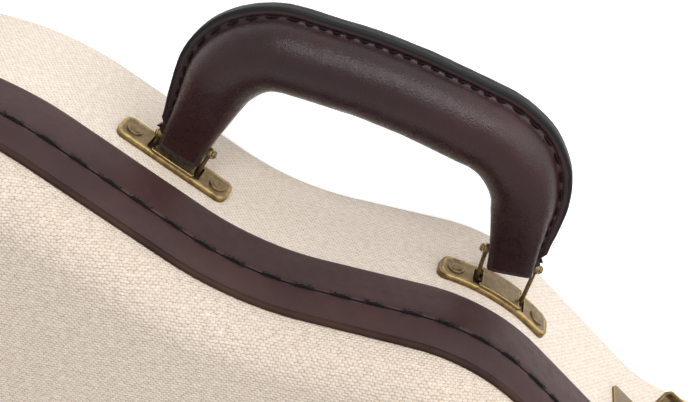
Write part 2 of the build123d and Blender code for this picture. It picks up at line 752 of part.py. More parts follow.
def make_latches():
    """All latches, with their lever pins and the rivets of their bases."""
    frames = latch_frames()
    for name, frame in frames.items():
        latch(frame, name)
    with BuildPart() as latch_pins:
        for frame in frames.values():
            side = side_plane(frame)
            with BuildSketch(side):
                with Locations((LATCH_PIN_OUT, -LATCH_PIN_DROP)):
                    Circle(LATCH_PIN_RADIUS)
            extrude(amount=LATCH_EAR_GAP + LATCH_EAR, both=True)
    keep(latch_pins.part, "latch_pins")


# Inside of the case

def make_interior():
    """Neck cradle and the accessory box with its lid and pull tab."""
    floor_z = PANEL_TOP + FLOOR_PAD
    half_width = NECK_HALF_WIDTH
    with BuildPart() as neck_cradle:
        add(outline(floor_z, CAVITY_INSET + LINING))
        extrude(amount=CRADLE_TOP - VALANCE_DROP - floor_z)
        add(outline(CRADLE_TOP - VALANCE_DROP, CAVITY_INSET + LINING + VALANCE))
        extrude(amount=VALANCE_DROP)
        with BuildSketch(Plane.XY.offset(floor_z)):
            with Locations((CRADLE_X, 0)):
                Rectangle(CRADLE_LENGTH, 4 * half_width)
        extrude(amount=CRADLE_TOP, mode=Mode.INTERSECT)
        notch_z = CRADLE_TOP - CRADLE_NOTCH_DEPTH + CRADLE_NOTCH_RADIUS
        with BuildSketch(Plane.YZ.offset(CRADLE_X)):
            with Locations((0, notch_z)):
                Circle(CRADLE_NOTCH_RADIUS)
        extrude(amount=CRADLE_LENGTH, both=True, mode=Mode.SUBTRACT)
        fillet(neck_cradle.faces().sort_by(Axis.Z)[-2:].edges().filter_by(Axis.Y), CRADLE_EDGE)
    keep(neck_cradle.part, "neck_cradle")

    box_width = 2 * (HEAD_HALF_WIDTH - CAVITY_INSET - LINING - BOX_WALL)
    wall_height = BOX_TOP - floor_z
    with BuildPart() as accessory_box:
        with BuildSketch(Plane.XY.offset(floor_z)):
            with Locations((BOX_X, 0)):
                Rectangle(BOX_LENGTH, box_width)
                Rectangle(BOX_LENGTH - 2 * BOX_WALL, box_width - 2 * BOX_WALL, mode=Mode.SUBTRACT)
        extrude(amount=wall_height)
    keep(accessory_box.part, "accessory_box")

    hinge_x = BOX_X - BOX_LENGTH / 2 + BOX_HINGE_RADIUS
    hinge_z = BOX_TOP + PLAY + BOX_LID / 2
    with BuildPart() as accessory_lid:
        with BuildSketch(Plane.XZ.offset(-box_width / 2)):
            with Locations((hinge_x, hinge_z)):
                Circle(BOX_HINGE_RADIUS)
            with Locations((hinge_x + BOX_LENGTH / 2, hinge_z)):
                Rectangle(BOX_LENGTH, BOX_LID)
            with Locations((hinge_x, hinge_z)):
                Circle(BOX_PIN_RADIUS + RUNNING_FIT, mode=Mode.SUBTRACT)
        extrude(amount=box_width)
    keep(accessory_lid.part, "accessory_lid")

    with BuildPart() as accessory_pin:
        with BuildSketch(Plane.XZ.offset(-box_width / 2 - BOX_WALL)):
            with Locations((hinge_x, hinge_z)):
                Circle(BOX_PIN_RADIUS)
        extrude(amount=box_width + 2 * BOX_WALL)
        for place in (-box_width / 2 - BOX_WALL, box_width / 2 + PLAY):
            with BuildSketch(Plane.XZ.offset(place)):
                with Locations((hinge_x, (hinge_z + BOX_HINGE_RADIUS + floor_z) / 2)):
                    Rectangle(2 * BOX_HINGE_RADIUS, hinge_z + BOX_HINGE_RADIUS - floor_z)
            extrude(amount=BOX_WALL - PLAY)
    keep(accessory_pin.part, "accessory_hinge")

    tab_x = hinge_x + BOX_LENGTH - TAB_LENGTH / 2 - BOX_WALL
    with BuildPart() as accessory_tab:
        with BuildSketch(Plane.XY.offset(hinge_z + BOX_LID / 2)):
            with Locations((tab_x, 0)):
                SlotOverall(TAB_LENGTH, TAB_LENGTH * 0.6)
        extrude(amount=LEATHER)
    keep(accessory_tab.part, "accessory_tab")
    print("accessory", hinge_x, hinge_z)


make_body()
make_lid()
make_brackets()
make_handle()
make_hinges()
make_latches()
make_interior()
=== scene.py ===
"""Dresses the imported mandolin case: canvas, leather, brass and plush over the CAD solids.

Everything is in the row frame: X along the case with the lower bout at +X, the handle at -Y, Z up.
Outlines, profiles and pieces are in millimetres and become metres where a mesh is made. Materials,
lamps and the camera are in metres.
"""
import math
import random

import bmesh
import bpy
import numpy as np
from mathutils import Matrix, Vector, noise


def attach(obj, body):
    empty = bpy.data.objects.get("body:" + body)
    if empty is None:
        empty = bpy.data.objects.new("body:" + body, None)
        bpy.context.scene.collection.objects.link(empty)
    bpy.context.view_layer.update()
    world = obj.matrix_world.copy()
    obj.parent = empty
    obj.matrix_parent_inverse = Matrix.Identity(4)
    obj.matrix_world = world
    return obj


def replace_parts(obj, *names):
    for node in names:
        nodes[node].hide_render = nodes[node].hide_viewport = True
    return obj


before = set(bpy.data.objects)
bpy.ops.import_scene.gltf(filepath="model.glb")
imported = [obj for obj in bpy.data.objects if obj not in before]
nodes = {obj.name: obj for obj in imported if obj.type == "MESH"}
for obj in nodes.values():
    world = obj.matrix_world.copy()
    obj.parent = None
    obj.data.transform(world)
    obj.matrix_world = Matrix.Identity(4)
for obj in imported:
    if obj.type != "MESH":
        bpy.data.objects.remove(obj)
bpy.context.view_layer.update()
random.seed(7)
MM = 0.001
UP = Vector((0, 0, 1))

# Half of the outline, from the tail to the head; the other half mirrors it.
TAIL_X = 372
CORNERS = [(TAIL_X, 0), (TAIL_X, 194), (121.4, 124.2), (31.4, 140.1), (-55.7, 94.5), (-372, 88),
           (-372, 0)]
CORNER_RADII = [134, 117, 75, 60, 38]
OUTLINE_STEP, OUTLINE_TURN = 4.0, 0.06

# Heights above the back: the handle, the seam of body and lid, the groove between the strips, the
# band's upper edge and the foot of the lid's rolled edge. Then the radii of that edge and of the
# back's.
HANDLE_Z, SEAM, STRIP_GROOVE, BAND_TOP, ROLL_FOOT = 40.0, 56.0, 76.0, 87.0, 89.0
ROLL_RADIUS, BACK_RADIUS = 17.0, 5.0

# How far the wall and the lid's canvas stand in from the outline, which is the band's outer face.
BODY_INSET, CROWN_INSET = 3.0, 5.8

# Ends of the line on which a panel closes, and how its rings crowd towards that line.
SPINE_LOW, SPINE_HIGH = -300.0, 235.0
RING_SPREAD = 1.6

# A direction that no thread runs along, and the size of a thread's tip.
OFF_AXIS = Vector((0.3, 0.2, 1))
TIP_SHARE = 0.35


# Lines

def rounded_run(points, radii, step, turn_step):
    """Points along a 2D polyline with its corners rounded, each with its heading."""
    made = []
    at = np.array(points[0], float)
    for index in range(1, len(points) - 1):
        corner = np.array(points[index], float)
        run_in = corner - np.array(points[index - 1], float)
        run_out = np.array(points[index + 1], float) - corner
        heading_in = math.atan2(run_in[1], run_in[0])
        heading_out = math.atan2(run_out[1], run_out[0])
        turn = (heading_out - heading_in + math.pi) % (2 * math.pi) - math.pi
        radius = radii[index - 1]
        reach = radius * abs(math.tan(turn / 2))
        along = np.array([math.cos(heading_in), math.sin(heading_in)])
        start = corner - along * reach
        length = np.linalg.norm(start - at)
        count = max(1, round(length / step))
        for k in range(count):
            made.append((*(at + along * length * k / count), heading_in))
        side = 1 if turn > 0 else -1
        centre = start + side * radius * np.array([-along[1], along[0]])
        count = max(2, round(max(abs(turn) / turn_step, radius * abs(turn) / step)))
        for k in range(count):
            angle = heading_in + turn * k / count
            away = np.array([math.sin(angle), -math.cos(angle)])
            made.append((*(centre + side * radius * away), angle))
        at = corner + reach * np.array([math.cos(heading_out), math.sin(heading_out)])
    end = np.array(points[-1], float)
    length = np.linalg.norm(end - at)
    count = max(1, round(length / step))
    for k in range(count + 1):
        made.append((*(at + (end - at) * k / count), heading_out))
    return made


def make_outline():
    """Stations round the case: place and outward normal in the plan, and the length up to each."""
    half = rounded_run(CORNERS, CORNER_RADII, OUTLINE_STEP, OUTLINE_TURN)
    place = [(x, y) for x, y, _ in half]
    normal = [(math.sin(a), -math.cos(a)) for _, _, a in half]
    place += [(x, -y) for x, y in place[-2:0:-1]]
    normal += [(x, -y) for x, y in normal[-2:0:-1]]
    place, normal = np.array(place), np.array(normal)
    gaps = np.linalg.norm(np.roll(place, -1, 0) - place, axis=1)
    return place, normal, np.concatenate([[0], np.cumsum(gaps)])


PLACE, NORMAL, LENGTH = make_outline()


def on_outline(reach, inset, z):
    """The point, outward normal and direction at a length round the case."""
    reach %= LENGTH[-1]
    i = int(np.searchsorted(LENGTH, reach, "right")) - 1
    j = (i + 1) % len(PLACE)
    t = (reach - LENGTH[i]) / (LENGTH[i + 1] - LENGTH[i])
    n = NORMAL[i] * (1 - t) + NORMAL[j] * t
    n = n / np.linalg.norm(n)
    p = PLACE[i] * (1 - t) + PLACE[j] * t - n * inset
    return Vector((p[0], p[1], z)), Vector((n[0], n[1], 0)), Vector((-n[1], n[0], 0))


# Meshes

def mesh_piece(name, points, faces, material, body, slot, uvs=None, smooth=True):
    """A mesh from points in millimetres that rides on a body."""
    mesh = bpy.data.meshes.new(name)
    mesh.from_pydata([tuple(c * MM for c in p) for p in points], [], faces)
    if uvs:
        layer = mesh.uv_layers.new(name="cloth")
        layer.data.foreach_set("uv", np.array([uv for face in uvs for uv in face]).ravel() * MM)
    mesh.validate()
    if smooth:
        mesh.shade_smooth()
    piece = bpy.data.objects.new(name, mesh)
    bpy.context.scene.collection.objects.link(piece)
    piece.data.materials.append(material)
    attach(piece, body)
    return piece


def profile_run(profile):
    """The length along a profile up to each of its points."""
    return np.concatenate([[0], np.cumsum([math.dist(a, b) for a, b in zip(profile, profile[1:])])])


def ring_face(k, s, count):
    """The face between ring k and the next one, from point s to the point after it."""
    t = (s + 1) % count
    return k * count + s, k * count + t, (k + 1) * count + t, (k + 1) * count + s


def wall_cloth(i, low, high):
    """Cloth coordinates of a face on the outline: the length round it and the height."""
    return [(LENGTH[i], low), (LENGTH[i + 1], low), (LENGTH[i + 1], high), (LENGTH[i], high)]


def hull_strip(name, profile, material, body, slot, wave=None):
    """A skin that follows the outline; profile is (inset, height) pairs, low to high outside."""
    count = len(PLACE)
    points, faces, uvs = [], [], []
    run = profile_run(profile)
    for k, (inset, z) in enumerate(profile):
        for i in range(count):
            extra = wave(LENGTH[i], k / (len(profile) - 1)) if wave else 0.0
            p = PLACE[i] - NORMAL[i] * (inset - extra)
            points.append((p[0], p[1], z))
    for k in range(len(profile) - 1):
        for i in range(count):
            faces.append(ring_face(k, i, count))
            uvs.append(wall_cloth(i, run[k], run[k + 1]))
    return mesh_piece(name, points, faces, material, body, slot, uvs)


def hull_panel(name, profile, material, body, slot, rise=0.0, rings=10, flip=False, drawn=False):
    """A skin as hull_strip makes it, closed by a panel that meets, and rises, on the centre line.

    The cloth of the panel lies square to the case; drawn, it runs on over the edge as well.
    """
    count = len(PLACE)
    points, faces, uvs, cloth = [], [], [], []
    run = profile_run(profile)
    last_inset, last_z = profile[-1]
    for k, (inset, z) in enumerate(profile):
        for i in range(count):
            p = PLACE[i] - NORMAL[i] * inset
            points.append((p[0], p[1], z))
            cloth.append(tuple(PLACE[i] - NORMAL[i] * (last_inset - run[-1] + run[k])))
    for r in range(1, rings + 1):
        share = 1 - (1 - r / rings) ** RING_SPREAD
        for i in range(count):
            p = PLACE[i] - NORMAL[i] * last_inset
            goal = np.array([min(max(p[0], SPINE_LOW), SPINE_HIGH), 0.0])
            q = p * (1 - share) + goal * share
            points.append((q[0], q[1], last_z + rise * (1 - (1 - share) ** 2)))
            cloth.append((q[0], q[1]))
    edge = len(profile) - 1
    for k in range(edge + rings):
        for i in range(count):
            face = ring_face(k, i, count)
            flat = drawn or k >= edge
            corners = [cloth[v] for v in face] if flat else wall_cloth(i, run[k], run[k + 1])
            faces.append(face[::-1] if flip else face)
            uvs.append(corners[::-1] if flip else corners)
    return mesh_piece(name, points, faces, material, body, slot, uvs)


def circle(centre, across, other, radius, sides):
    """Points of the circle that two directions span."""
    turns = [2 * math.pi * s / sides for s in range(sides)]
    return [centre + (across * math.cos(a) + other * math.sin(a)) * radius for a in turns]


def tube(line, radius, sides=6, tips=True):
    """Points and faces of a round thread along a line of points."""
    points, last = [], len(line) - 1
    for k, p in enumerate(line):
        ahead = (line[min(k + 1, last)] - line[max(k - 1, 0)]).normalized()
        across = ahead.cross(OFF_AXIS).normalized()
        size = radius * (TIP_SHARE if tips and k in (0, last) else 1.0)
        points += circle(p, across, ahead.cross(across), size, sides)
    faces = [ring_face(k, s, sides) for k in range(last) for s in range(sides)]
    faces.append(tuple(range(sides))[::-1])
    faces.append(tuple(last * sides + s for s in range(sides)))
    return points, faces


def joined(parts):
    """One list of points and faces from several."""
    points, faces = [], []
    for some_points, some_faces in parts:
        base = len(points)
        points += [tuple(p) for p in some_points]
        faces += [tuple(base + v for v in f) for f in some_faces]
    return points, faces


def lathe(profile, foot, axis, sides):
    """Points and faces turned about an axis; profile is (radius, height) pairs from the foot up."""
    axis = axis.normalized()
    across = axis.orthogonal().normalized()
    points, last = [], len(profile) - 1
    for radius, height in profile:
        points += circle(foot + axis * height, across, axis.cross(across), radius, sides)
    faces = [ring_face(k, s, sides) for k in range(last) for s in range(sides)]
    faces.append(tuple(last * sides + s for s in range(sides)))
    return points, faces


# Materials

class Wiring:
    """Short calls for the nodes of a tree."""

    def __init__(self, tree):
        self.tree = tree

    def feed(self, socket, value):
        """Links a socket to another one, or gives it a plain value."""
        if isinstance(value, bpy.types.NodeSocket):
            self.tree.links.new(value, socket)
        else:
            socket.default_value = value

    def node(self, kind, **inputs):
        """A node with some inputs fed; an underscore stands for the space in an input's name."""
        made = self.tree.nodes.new(kind)
        for key, value in inputs.items():
            self.feed(made.inputs[key.replace("_", " ")], value)
        return made

    def math(self, operation, *values):
        """The result of a math node."""
        made = self.tree.nodes.new("ShaderNodeMath")
        made.operation = operation
        for socket, value in zip(made.inputs, values):
            self.feed(socket, value)
        return made.outputs[0]


class Shade(Wiring):
    """Short calls for a node material."""

    def __init__(self, name):
        self.material = bpy.data.materials.new(name)
        self.material.use_nodes = True
        super().__init__(self.material.node_tree)
        self.bsdf = self.tree.nodes["Principled BSDF"]
        self.coord = self.tree.nodes.new("ShaderNodeTexCoord")

    def vector(self, operation, *values):
        """The result of a vector math node."""
        made = self.tree.nodes.new("ShaderNodeVectorMath")
        made.operation = operation
        for socket, value in zip(made.inputs, values):
            self.feed(socket, value)
        return made.outputs["Value" if operation == "DOT_PRODUCT" else "Vector"]

    def noise(self, scale, detail, rough, vector=None, output="Fac"):
        """Noise over the object's own coordinates, or over a vector."""
        return self.node("ShaderNodeTexNoise", Vector=vector or self.coord.outputs["Object"],
                         Scale=scale, Detail=detail, Roughness=rough).outputs[output]

    def span(self, value, low, high, to_low=0.0, to_high=1.0):
        """A value that eases from to_low to to_high while the given one goes from low to high."""
        made = self.tree.nodes.new("ShaderNodeMapRange")
        made.interpolation_type = "SMOOTHSTEP"
        for socket, v in zip(made.inputs, (value, low, high, to_low, to_high)):
            self.feed(socket, v)
        return made.outputs[0]

    def mix(self, share, first, second):
        """A colour between two, each a socket or three linear values."""
        made = self.tree.nodes.new("ShaderNodeMix")
        made.data_type = "RGBA"
        self.feed(made.inputs[0], share)
        for socket, value in ((made.inputs[6], first), (made.inputs[7], second)):
            self.feed(socket, (*value, 1) if isinstance(value, tuple) else value)
        return made.outputs[2]

    def patches(self, colour, other, value, low, high, share):
        """A colour with a share of another where a value rises from low to high."""
        return self.mix(self.math("MULTIPLY", self.span(value, low, high), share), colour, other)

    def bump(self, height, strength, distance, under=None):
        """A normal from a height, over another normal if one is given."""
        made = self.node("ShaderNodeBump", Height=height, Strength=strength, Distance=distance)
        if under is not None:
            self.feed(made.inputs["Normal"], under)
        return made.outputs[0]

    def done(self, colour, rough, normal, metal=0.0, sheen=0.0, sheen_rough=0.4, specular=0.5):
        """The finished material; what is the same all over goes straight onto the shader."""
        self.feed(self.bsdf.inputs["Base Color"], colour)
        self.feed(self.bsdf.inputs["Roughness"], rough)
        self.feed(self.bsdf.inputs["Normal"], normal)
        self.bsdf.inputs["Metallic"].default_value = metal
        self.bsdf.inputs["Sheen Weight"].default_value = sheen
        self.bsdf.inputs["Sheen Roughness"].default_value = sheen_rough
        self.bsdf.inputs["Specular IOR Level"].default_value = specular
        return self.material


def srgb(red, green, blue):
    """A colour given in sRGB from 0 to 255, as the renderer's linear values."""
    return tuple((c / 255 / 12.92) if c <= 10 else ((c / 255 + 0.055) / 1.055) ** 2.4
                 for c in (red, green, blue))


# The weave in metres: one grain of the weft along its row, and the pitch of the rows. A grain fills
# these shares of its own place, which is two rows high.
GRAIN_LENGTH, ROW_PITCH = 1.9 * MM, 1.12 * MM
GRAIN_REACH, ROW_REACH = 0.64, 0.355
# The first colour tints patches at random; the second is painted shade in the gaps between grains.
CANVAS_WARM, CANVAS_GAP_SHADE = srgb(212, 192, 172), srgb(150, 132, 114)


def grains(shade, u, v, shift):
    """Height of every second row of grains, each a small oval pillow."""
    parts = []
    for value, size, reach in ((u, GRAIN_LENGTH, GRAIN_REACH), (v, 2 * ROW_PITCH, ROW_REACH)):
        place = shade.math("FRACT", shade.math("MULTIPLY_ADD", value, 1 / size, shift))
        off_centre = shade.math("MULTIPLY_ADD", place, 1 / reach, -0.5 / reach)
        parts.append(shade.math("POWER", off_centre, 2.0))
    return shade.math("SUBTRACT", shade.math("SUBTRACT", 1.0, parts[0]), parts[1])


def weave(shade, u, v):
    """Height of a plain weave with a heavy weft: rows of grains, each row half a grain along."""
    return shade.math("MAXIMUM", grains(shade, u, v, 0.0), grains(shade, u, v, 0.5))


def canvas_material(name, turn, stray, shade_and_rub, depth, relief, dark, light):
    """Coarse natural canvas, threads turned by degrees, straying by metres, with painted shade in
    its gaps.
    """
    shade = Shade(name)
    source = shade.node("ShaderNodeVectorRotate", Vector=shade.coord.outputs["UV"],
                        Angle=math.radians(turn)).outputs[0]
    drift = shade.noise(130.0, 3.0, 0.5, source, "Color")
    centred = shade.vector("SUBTRACT", drift, (0.5, 0.5, 0.5))
    moved = shade.vector("MULTIPLY_ADD", centred, (stray, stray, 0.0), source)
    split = shade.node("ShaderNodeSeparateXYZ", Vector=moved)
    height = weave(shade, split.outputs[0], split.outputs[1])
    slub = shade.noise(1.0, 3.0, 0.65, shade.vector("MULTIPLY", moved, (380.0, 700.0, 380.0)))
    fuzz = shade.noise(2600.0, 2.0, 0.7)
    cloud = shade.noise(9.0, 3.0, 0.6)
    thread = shade.mix(shade.span(slub, 0.3, 0.72), dark, light)
    thread = shade.patches(thread, CANVAS_WARM, cloud, 0.35, 0.7, 0.22)
    # Painted shade: the gaps between grains darken towards the gap colour, as deep as depth asks,
    # unevenly along the slubs.
    gap_shade = shade.math("MULTIPLY_ADD", shade.math("SUBTRACT", slub, 0.5), shade_and_rub, height)
    colour = shade.mix(shade.span(gap_shade, 0.12, 0.62, 1.0 - depth, 1.0), CANVAS_GAP_SHADE, thread)
    fibres = shade.math("MULTIPLY", shade.math("ADD", slub, fuzz), 0.5)
    normal = shade.bump(shade.math("ADD", height, fibres), relief, 0.0004)
    return shade.done(colour, 0.92, normal, sheen=0.1, sheen_rough=0.5, specular=0.1)


def leather_material(name, base, light, grain, rough, shine):
    """Smooth plum-brown leather with fine grain, small pores and rubbed lights."""
    shade = Shade(name)
    cells = shade.node("ShaderNodeTexVoronoi", Scale=1500.0, Vector=shade.coord.outputs["Object"])
    pores = shade.noise(2400.0, 3.0, 0.65)
    crease = shade.noise(260.0, 4.0, 0.6)
    cloud = shade.noise(28.0, 3.0, 0.55)
    colour = shade.mix(shade.span(cloud, 0.32, 0.72), base, light)
    colour = shade.patches(colour, tuple(c * 0.55 for c in base), pores, 0.55, 0.75, 0.35)
    relief = shade.math("ADD", shade.math("MULTIPLY", cells.outputs["Distance"], 0.5),
                        shade.math("ADD", pores, shade.math("MULTIPLY", crease, 1.6)))
    normal = shade.bump(relief, 0.16 * grain, 0.00025)
    gloss = shade.span(crease, 0.3, 0.8, rough - 0.06, rough + 0.1)
    return shade.done(colour, gloss, normal, specular=shine)


def brass_material(name, shade_and_rub=0.0):
    """Aged brass: brown in the hollows, rubbed bright along the edges."""
    shade = Shade(name)
    soft = shade.node("ShaderNodeBevel", Radius=0.0006)
    soft.samples = 6
    true_normal = shade.node("ShaderNodeNewGeometry").outputs["Normal"]
    flatness = shade.vector("DOT_PRODUCT", soft.outputs[0], true_normal)
    edge = shade.span(flatness, 0.985, 0.86)
    stain = shade.noise(420.0, 4.0, 0.65)
    speck = shade.noise(1700.0, 3.0, 0.6)
    body = shade.mix(shade.span(stain, 0.35, 0.7), srgb(100, 82, 58), srgb(134, 113, 82))
    body = shade.patches(body, srgb(70, 54, 36), speck, 0.56, 0.7, 0.4)
    rub = shade.math("MULTIPLY", edge, shade.span(stain, 0.2, 0.55, 0.45, 1.0))
    # Rubbed bright patches all over the face, as much as the last parameter asks: real wear of the
    # brass.
    rub = shade.math("MAXIMUM", rub, shade.math("MULTIPLY", shade.span(stain, 0.25, 0.6), shade_and_rub))
    colour = shade.mix(rub, body, srgb(206, 178, 110))
    relief = shade.math("ADD", stain, shade.math("MULTIPLY", speck, 0.4))
    normal = shade.bump(relief, 0.12, 0.0002, soft.outputs[0])
    return shade.done(colour, shade.span(stain, 0.3, 0.75, 0.3, 0.48), normal, metal=0.8)


def plush_material(name):
    """Short wine-red pile."""
    shade = Shade(name)
    pile = shade.noise(1900.0, 3.0, 0.7)
    lay = shade.noise(34.0, 3.0, 0.6)
    colour = shade.mix(shade.span(lay, 0.3, 0.75), srgb(72, 19, 28), srgb(88, 26, 36))
    colour = shade.patches(colour, srgb(40, 9, 14), pile, 0.45, 0.75, 0.55)
    normal = shade.bump(shade.math("ADD", pile, shade.math("MULTIPLY", lay, 2.0)), 0.55, 0.0006)
    return shade.done(colour, 0.95, normal, sheen=0.35, sheen_rough=0.45, specular=0.1)


def wood_material(name):
    """Plain plywood, its grain along the case."""
    shade = Shade(name)
    place = shade.coord.outputs["Object"]
    grain = shade.noise(1.0, 4.0, 0.6, shade.vector("MULTIPLY", place, (12.0, 260.0, 700.0)))
    streak = shade.noise(1.0, 2.0, 0.5, shade.vector("MULTIPLY", place, (5.0, 60.0, 90.0)))
    colour = shade.mix(shade.span(grain, 0.3, 0.7), srgb(172, 132, 90), srgb(206, 170, 124))
    colour = shade.patches(colour, srgb(150, 108, 70), streak, 0.4, 0.7, 0.4)
    return shade.done(colour, 0.6, shade.bump(grain, 0.25, 0.0003), specular=0.35)


def thread_material(name):
    """Waxed black sewing thread with its twist."""
    shade = Shade(name)
    twist = shade.noise(2200.0, 2.0, 0.6)
    colour = shade.mix(shade.span(twist, 0.35, 0.7), srgb(9, 7, 8), srgb(24, 20, 22))
    return shade.done(colour, 0.8, shade.bump(twist, 0.5, 0.0002), sheen=0.1, specular=0.15)


def paint_material(name):
    """Black edge paint, slightly uneven."""
    shade = Shade(name)
    lumps = shade.noise(900.0, 3.0, 0.6)
    colour = shade.mix(shade.span(lumps, 0.3, 0.7), srgb(9, 9, 10), srgb(20, 19, 21))
    gloss = shade.span(lumps, 0.3, 0.7, 0.46, 0.62)
    return shade.done(colour, gloss, shade.bump(lumps, 0.3, 0.0003), specular=0.22)


# Wall and face are one cloth; the wall's copy is painted lighter and the face's darker, as painted
# light and shade for how the lamps fall.
wall_canvas_painted_light = canvas_material("canvas_wall_painted_light", turn=2.0, stray=0.0011, shade_and_rub=0.35, depth=0.8,
                              relief=0.7, dark=srgb(223, 210, 197), light=srgb(240, 230, 218))
face_canvas_painted_shade = canvas_material("canvas_face_painted_shade", turn=-14.0, stray=0.002, shade_and_rub=0.6, depth=0.85,
                              relief=1.0, dark=srgb(209, 193, 178), light=srgb(228, 215, 201))
band_leather = leather_material("band_leather", srgb(52, 34, 33), srgb(64, 43, 42),
                                grain=1.5, rough=0.46, shine=0.2)
bead_leather = leather_material("bead_leather", srgb(44, 28, 24), srgb(66, 46, 38),
                                grain=2.0, rough=0.6, shine=0.12)
grip_leather = leather_material("grip_leather", srgb(34, 13, 14), srgb(47, 21, 22),
                                grain=2.6, rough=0.29, shine=0.32)
# A dark sheet for behind the brackets' slots: painted shade, where the slots lie in shadow.
painted_slot_shade = leather_material("painted_slot_shade", srgb(52, 38, 28), srgb(74, 56, 42),
                                 grain=1.0, rough=0.8, shine=0.1)
brass = brass_material("aged_brass")
bright_brass = brass_material("rubbed_brass", shade_and_rub=0.45)
plush = plush_material("wine_plush")
wood = wood_material("plywood")
black_thread = thread_material("black_thread")
edge_paint = paint_material("edge_paint")


# Canvas, bands and stitches

def arc(centre_inset, centre_z, radius, start, end, count):
    """Profile points on an arc; 180 degrees points outwards and 90 up."""
    return [(centre_inset + radius * math.cos(math.radians(start + (end - start) * k / count)),
             centre_z + radius * math.sin(math.radians(start + (end - start) * k / count)))
            for k in range(count + 1)]


def make_body_canvas():
    """Canvas of the wall and the back, turned in at the seam."""
    top = SEAM - 0.8
    profile = [(BODY_INSET + 1.2, SEAM), (BODY_INSET + 0.3, SEAM), (BODY_INSET + 0.05, SEAM - 0.3)]
    profile += [(BODY_INSET, top + (BACK_RADIUS - top) * k / 12) for k in range(13)]
    profile += arc(BODY_INSET + BACK_RADIUS, BACK_RADIUS, BACK_RADIUS, 180, 270, 7)[1:]
    piece = hull_panel("body_canvas", profile, wall_canvas_painted_light, "root", "canvas", flip=True)
    piece.data.materials.append(face_canvas_painted_shade)
    first_of_back = (len(profile) - 1) * len(PLACE)
    for face in piece.data.polygons:
        face.material_index = 1 if face.index >= first_of_back else 0
    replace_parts(piece, "body_side_canvas", "body_back_canvas")


def make_lid_canvas():
    """Canvas drawn over the padded lid, with its rolled edge and a slight unevenness on top."""
    uneven_from, uneven, waves = 92, 0.35, 0.018
    profile = [(CROWN_INSET + 0.8, BAND_TOP - 0.8), (CROWN_INSET, BAND_TOP - 0.2)]
    profile += arc(CROWN_INSET + ROLL_RADIUS, ROLL_FOOT, ROLL_RADIUS, 180, 90, 14)
    piece = hull_panel("lid_canvas", profile, face_canvas_painted_shade, "lid", "canvas",
                       rise=1.2, rings=12, drawn=True)
    for vertex in piece.data.vertices:
        p = vertex.co / MM
        if p.z > uneven_from:
            vertex.co.z += uneven * MM * noise.noise((p.x * waves, p.y * waves, 5.0))
    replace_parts(piece, "lid_top_canvas")


def make_bands():
    """The two leather strips of the lid band, named as they lie in the photo, and the bead."""
    uneven, hollow = 0.12, -0.12

    def lumps(reach, share):
        """Slight unevenness of a strip along its length."""
        rough = noise.noise((reach * 0.05, share * 1.5, 9.0))
        return uneven * rough * math.sin(math.pi * share)

    low, high = SEAM + 1.8, STRIP_GROOVE - 1.8
    upper = [(2.0, SEAM + 0.35), (0.9, SEAM + 0.35), (0.4, SEAM + 0.55), (0.12, SEAM + 1.0),
             (0.0, low)]
    upper += [(hollow * math.sin(math.pi * k / 8), low + (high - low) * k / 8) for k in range(1, 8)]
    upper += [(0.0, high), (0.1, high + 0.7), (0.35, high + 1.2), (0.8, high + 1.55),
              (1.7, high + 1.65)]
    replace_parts(hull_strip("band_upper", upper, band_leather, "lid", "leather", wave=lumps),
                "lid_band_upper")

    foot, lean, bulge = 0.45, 3.35, 0.35
    low, high = STRIP_GROOVE + 1.7, BAND_TOP - 1.0
    lower = [(1.9, STRIP_GROOVE + 0.1), (1.0, STRIP_GROOVE + 0.2), (0.62, STRIP_GROOVE + 0.5),
             (0.42, STRIP_GROOVE + 1.0), (foot, low)]
    lower += [(foot + lean * t - bulge * math.sin(math.pi * t), low + (high - low) * t)
              for t in (k / 7 for k in range(1, 8))]
    lower += [(4.1, BAND_TOP - 0.4), (4.5, BAND_TOP)]
    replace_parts(hull_strip("band_lower", lower, band_leather, "lid", "leather", wave=lumps),
                "lid_band_lower")

    bead = [(3.9, BAND_TOP - 0.6)] + arc(4.9, BAND_TOP + 0.6, 1.25, 205, -20, 12)
    bead += [(5.85, BAND_TOP - 0.6)]
    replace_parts(hull_strip("bead", bead, bead_leather, "lid", "leather"), "lid_bead")


# The stitches of the band: pitch and run along the groove, radius of the thread, how far its middle
# bows out, how deep its ends sink and how much it wavers. Then the loose fibres of each stitch, and
# the thin black line in the groove between the stitches, which is painted shade.
STITCH_PITCH, STITCH_RUN, STITCH_RADIUS = 13.4, 9.0, 0.74
STITCH_INSET, STITCH_BOW, STITCH_SINK, STITCH_WAVER = 0.25, 0.55, 0.45, 0.18
FIBRES, FIBRE_INSET, FIBRE_RADIUS = 40, 0.2, 0.12
GROOVE_SHADE_INSET, GROOVE_SHADE_STEP, GROOVE_SHADE_RADIUS = 0.5, 2.0, 0.17


